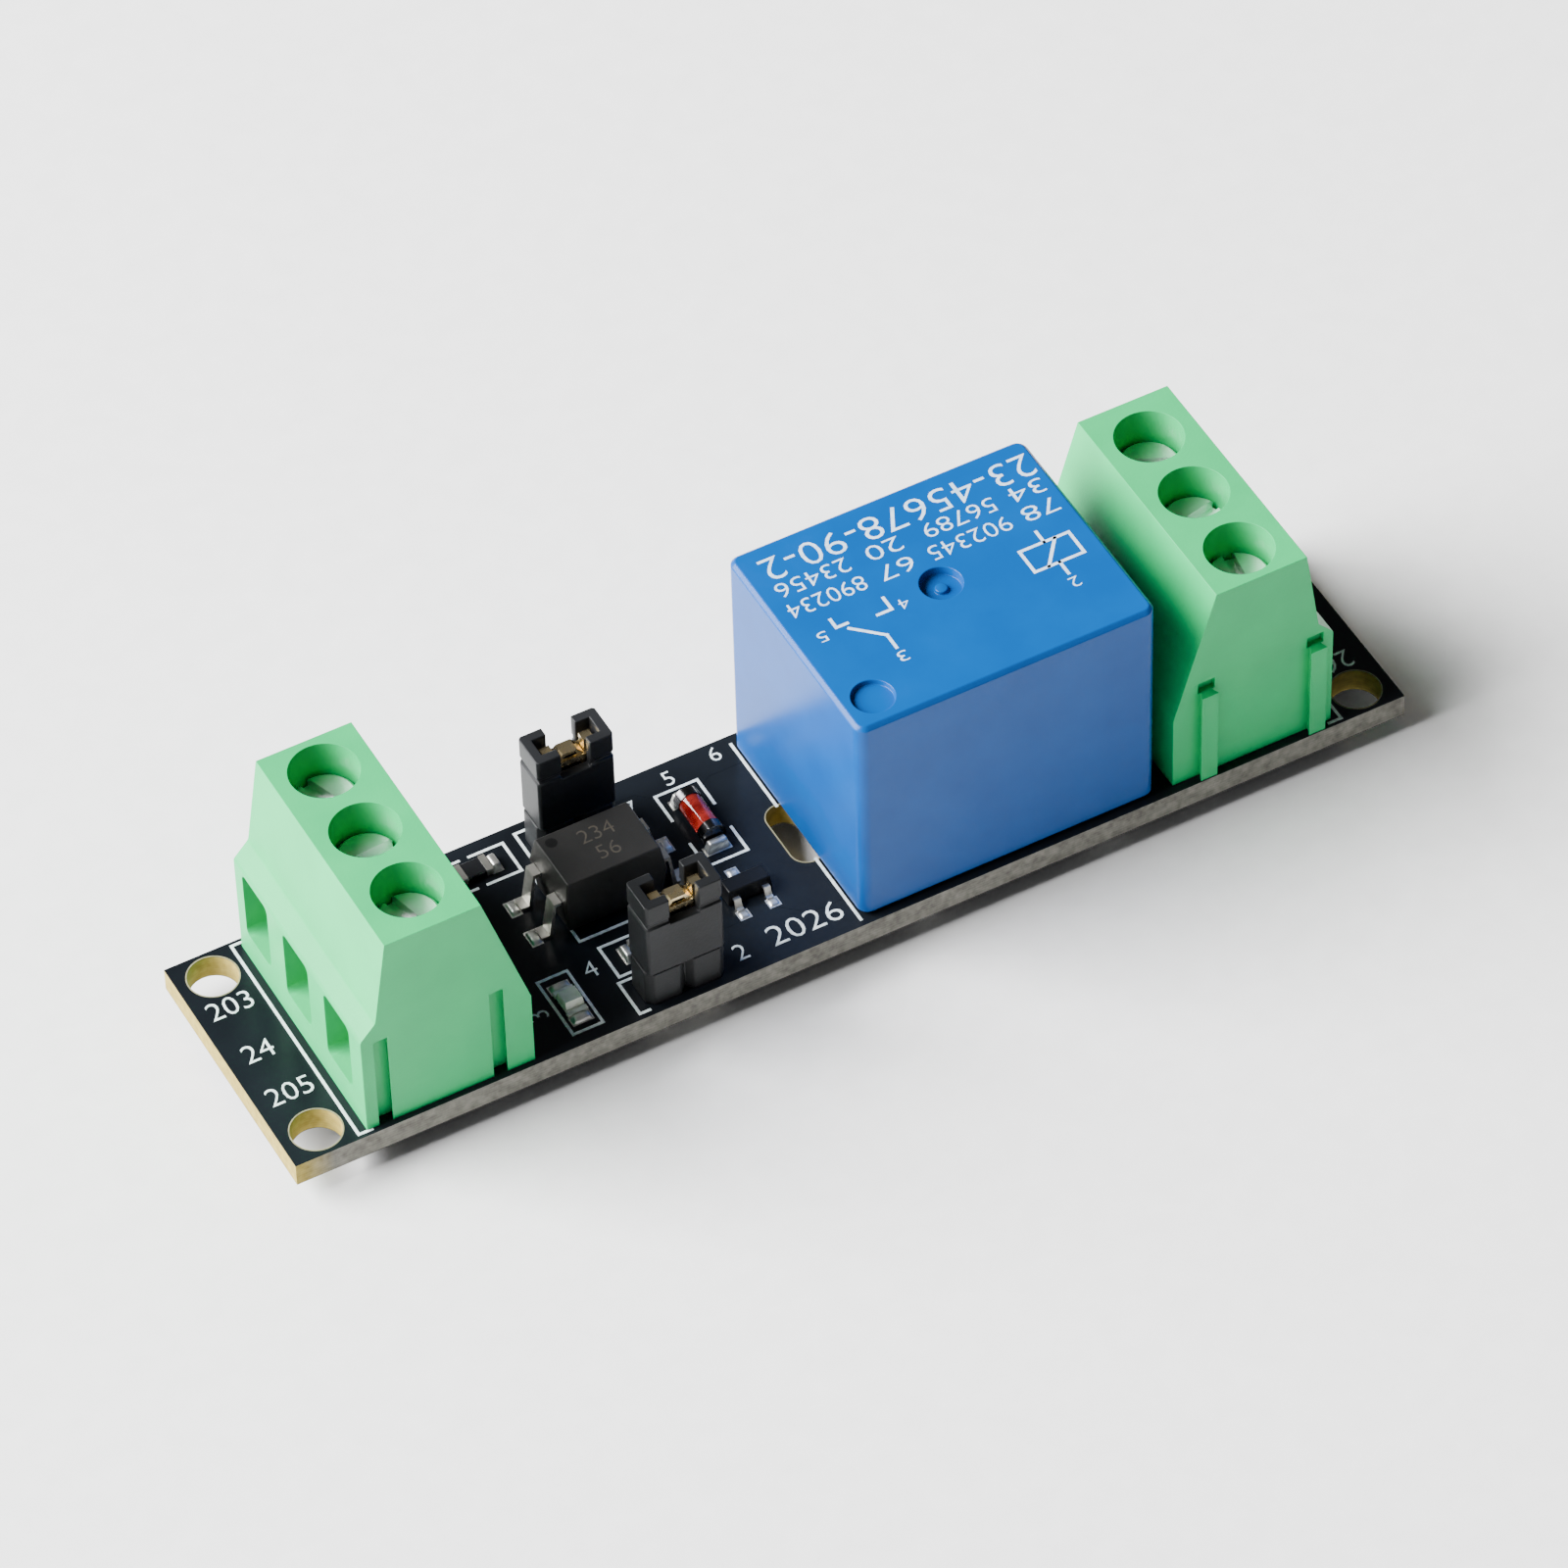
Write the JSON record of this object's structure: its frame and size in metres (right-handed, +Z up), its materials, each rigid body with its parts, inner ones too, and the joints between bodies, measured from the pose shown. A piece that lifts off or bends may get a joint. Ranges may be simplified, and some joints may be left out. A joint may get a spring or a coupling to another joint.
{
  "type": "relay module",
  "caption": "Narrow circuit board with a blue relay, screw terminal blocks at both ends, jumpers and small surface parts.",
  "frame": {"origin": "centre of the footprint, level with the tips of the soldered tails", "axes": "+X along the board from the input terminals to the output terminals, +Y to the back edge, +Z up out of the component side"},
  "size_m": [0.0718, 0.0166, 0.0187],
  "materials": {
    "solder_mask": "satin black-blue mask on glass-epoxy",
    "green_plastic": "mint-green moulded polyamide",
    "blue_plastic": "sky-blue moulded relay cover",
    "black_plastic": "black moulded plastic",
    "grey_plastic": "charcoal moulded plastic",
    "white_plastic": "natural white plastic",
    "lamp_plastic": "milky lens",
    "zinc_steel": "bright zinc plate",
    "tin_plate": "tinned sheet",
    "soft_iron": "nickel-plated soft iron",
    "gold_plate": "gold flash on brass",
    "copper_wire": "enamelled copper winding",
    "spring_alloy": "copper alloy leaf",
    "ceramic_chip": "glazed black chip",
    "tube_glass": "amber-red glass tube",
    "solder": "smooth solder"
  },
  "bodies": {
    "module": {"circuit_board": "solder_mask", "relay_cover": "blue_plastic", "relay_base": "black_plastic", "relay_yoke": "soft_iron", "relay_core": "soft_iron", "relay_bobbin": "white_plastic", "relay_coil": "copper_wire", "relay_rest_contact": "tin_plate", "relay_work_contact": "tin_plate", "relay_common_terminal": "tin_plate", "relay_coil_pins": "tin_plate", "optocoupler_body": "black_plastic", "optocoupler_leads": "tin_plate", "transistor_body": "black_plastic", "transistor_leads": "tin_plate", "diode_glass": "tube_glass", "diode_caps": "tin_plate", "lamp_base_plate": "white_plastic", "lamp_lens": "lamp_plastic", "lamp_ends": "tin_plate", "solder_joints": "solder", "surface_solder": "solder", "jumper_header_1": "grey_plastic", "jumper_pins_1": "gold_plate", "resistor_1_body": "ceramic_chip", "resistor_1_ends": "tin_plate", "jumper_header_2": "grey_plastic", "jumper_pins_2": "gold_plate", "resistor_2_body": "ceramic_chip", "resistor_2_ends": "tin_plate", "input_terminal_housing": "green_plastic", "input_terminal_contact_1": "tin_plate", "input_terminal_contact_2": "tin_plate", "input_terminal_contact_3": "tin_plate", "output_terminal_housing": "green_plastic", "output_terminal_contact_1": "tin_plate", "output_terminal_contact_2": "tin_plate", "output_terminal_contact_3": "tin_plate"},
    "jumper_1": {"jumper_cap_1": "grey_plastic", "jumper_clip_1": "gold_plate"},
    "jumper_2": {"jumper_cap_2": "grey_plastic", "jumper_clip_2": "gold_plate"},
    "armature": {"relay_armature": "soft_iron", "relay_contact_leaf": "spring_alloy"},
    "input_screw_1": {"input_terminal_screw_1": "zinc_steel"},
    "input_clamp_1": {"input_wire_clamp_1": "zinc_steel"},
    "input_screw_2": {"input_terminal_screw_2": "zinc_steel"},
    "input_clamp_2": {"input_wire_clamp_2": "zinc_steel"},
    "input_screw_3": {"input_terminal_screw_3": "zinc_steel"},
    "input_clamp_3": {"input_wire_clamp_3": "zinc_steel"},
    "output_screw_1": {"output_terminal_screw_1": "zinc_steel"},
    "output_clamp_1": {"output_wire_clamp_1": "zinc_steel"},
    "output_screw_2": {"output_terminal_screw_2": "zinc_steel"},
    "output_clamp_2": {"output_wire_clamp_2": "zinc_steel"},
    "output_screw_3": {"output_terminal_screw_3": "zinc_steel"},
    "output_clamp_3": {"output_wire_clamp_3": "zinc_steel"}
  },
  "joints": [
    {"name": "jumper_1_pull", "type": "slide", "parent": "module", "child": "jumper_1", "axis": [0, 0, 1], "range_m": [0, 0.0062]},
    {"name": "jumper_2_pull", "type": "slide", "parent": "module", "child": "jumper_2", "axis": [0, 0, 1], "range_m": [0, 0.0062]},
    {"name": "armature_rock", "type": "hinge", "parent": "module", "child": "armature", "pos_m": [0.00425, -0.00015, 0.0151], "axis": [0, 1, 0], "range_deg": [0, 5.3], "stiffness_Nm_per_rad": 0.001, "springref_deg": -17.19},
    {"name": "input_screw_1_turn", "type": "hinge", "parent": "module", "child": "input_screw_1", "pos_m": [-0.02638, -0.00493, 0.0121], "axis": [0, 0, 1], "range_deg": [-2016.4, 0]},
    {"name": "input_clamp_1_rise", "type": "slide", "parent": "module", "child": "input_clamp_1", "axis": [0, 0, 1], "range_m": [0, 0.0028]},
    {"name": "input_screw_2_turn", "type": "hinge", "parent": "module", "child": "input_screw_2", "pos_m": [-0.02638, 0.00015, 0.0121], "axis": [0, 0, 1], "range_deg": [-2016.4, 0]},
    {"name": "input_clamp_2_rise", "type": "slide", "parent": "module", "child": "input_clamp_2", "axis": [0, 0, 1], "range_m": [0, 0.0028]},
    {"name": "input_screw_3_turn", "type": "hinge", "parent": "module", "child": "input_screw_3", "pos_m": [-0.02638, 0.00523, 0.0121], "axis": [0, 0, 1], "range_deg": [-2016.4, 0]},
    {"name": "input_clamp_3_rise", "type": "slide", "parent": "module", "child": "input_clamp_3", "axis": [0, 0, 1], "range_m": [0, 0.0028]},
    {"name": "output_screw_1_turn", "type": "hinge", "parent": "module", "child": "output_screw_1", "pos_m": [0.02638, 0.00493, 0.0121], "axis": [0, 0, 1], "range_deg": [-2016.4, 0]},
    {"name": "output_clamp_1_rise", "type": "slide", "parent": "module", "child": "output_clamp_1", "axis": [0, 0, 1], "range_m": [0, 0.0028]},
    {"name": "output_screw_2_turn", "type": "hinge", "parent": "module", "child": "output_screw_2", "pos_m": [0.02638, -0.00015, 0.0121], "axis": [0, 0, 1], "range_deg": [-2016.4, 0]},
    {"name": "output_clamp_2_rise", "type": "slide", "parent": "module", "child": "output_clamp_2", "axis": [0, 0, 1], "range_m": [0, 0.0028]},
    {"name": "output_screw_3_turn", "type": "hinge", "parent": "module", "child": "output_screw_3", "pos_m": [0.02638, -0.00523, 0.0121], "axis": [0, 0, 1], "range_deg": [-2016.4, 0]},
    {"name": "output_clamp_3_rise", "type": "slide", "parent": "module", "child": "output_clamp_3", "axis": [0, 0, 1], "range_m": [0, 0.0028]}
  ],
  "couplings": [
    {"joint": "input_screw_1_turn", "follows": "input_clamp_1_rise", "rad_per_m": -12566},
    {"joint": "input_screw_2_turn", "follows": "input_clamp_2_rise", "rad_per_m": -12566},
    {"joint": "input_screw_3_turn", "follows": "input_clamp_3_rise", "rad_per_m": -12566},
    {"joint": "output_screw_1_turn", "follows": "output_clamp_1_rise", "rad_per_m": -12566},
    {"joint": "output_screw_2_turn", "follows": "output_clamp_2_rise", "rad_per_m": -12566},
    {"joint": "output_screw_3_turn", "follows": "output_clamp_3_rise", "rad_per_m": -12566}
  ]
}
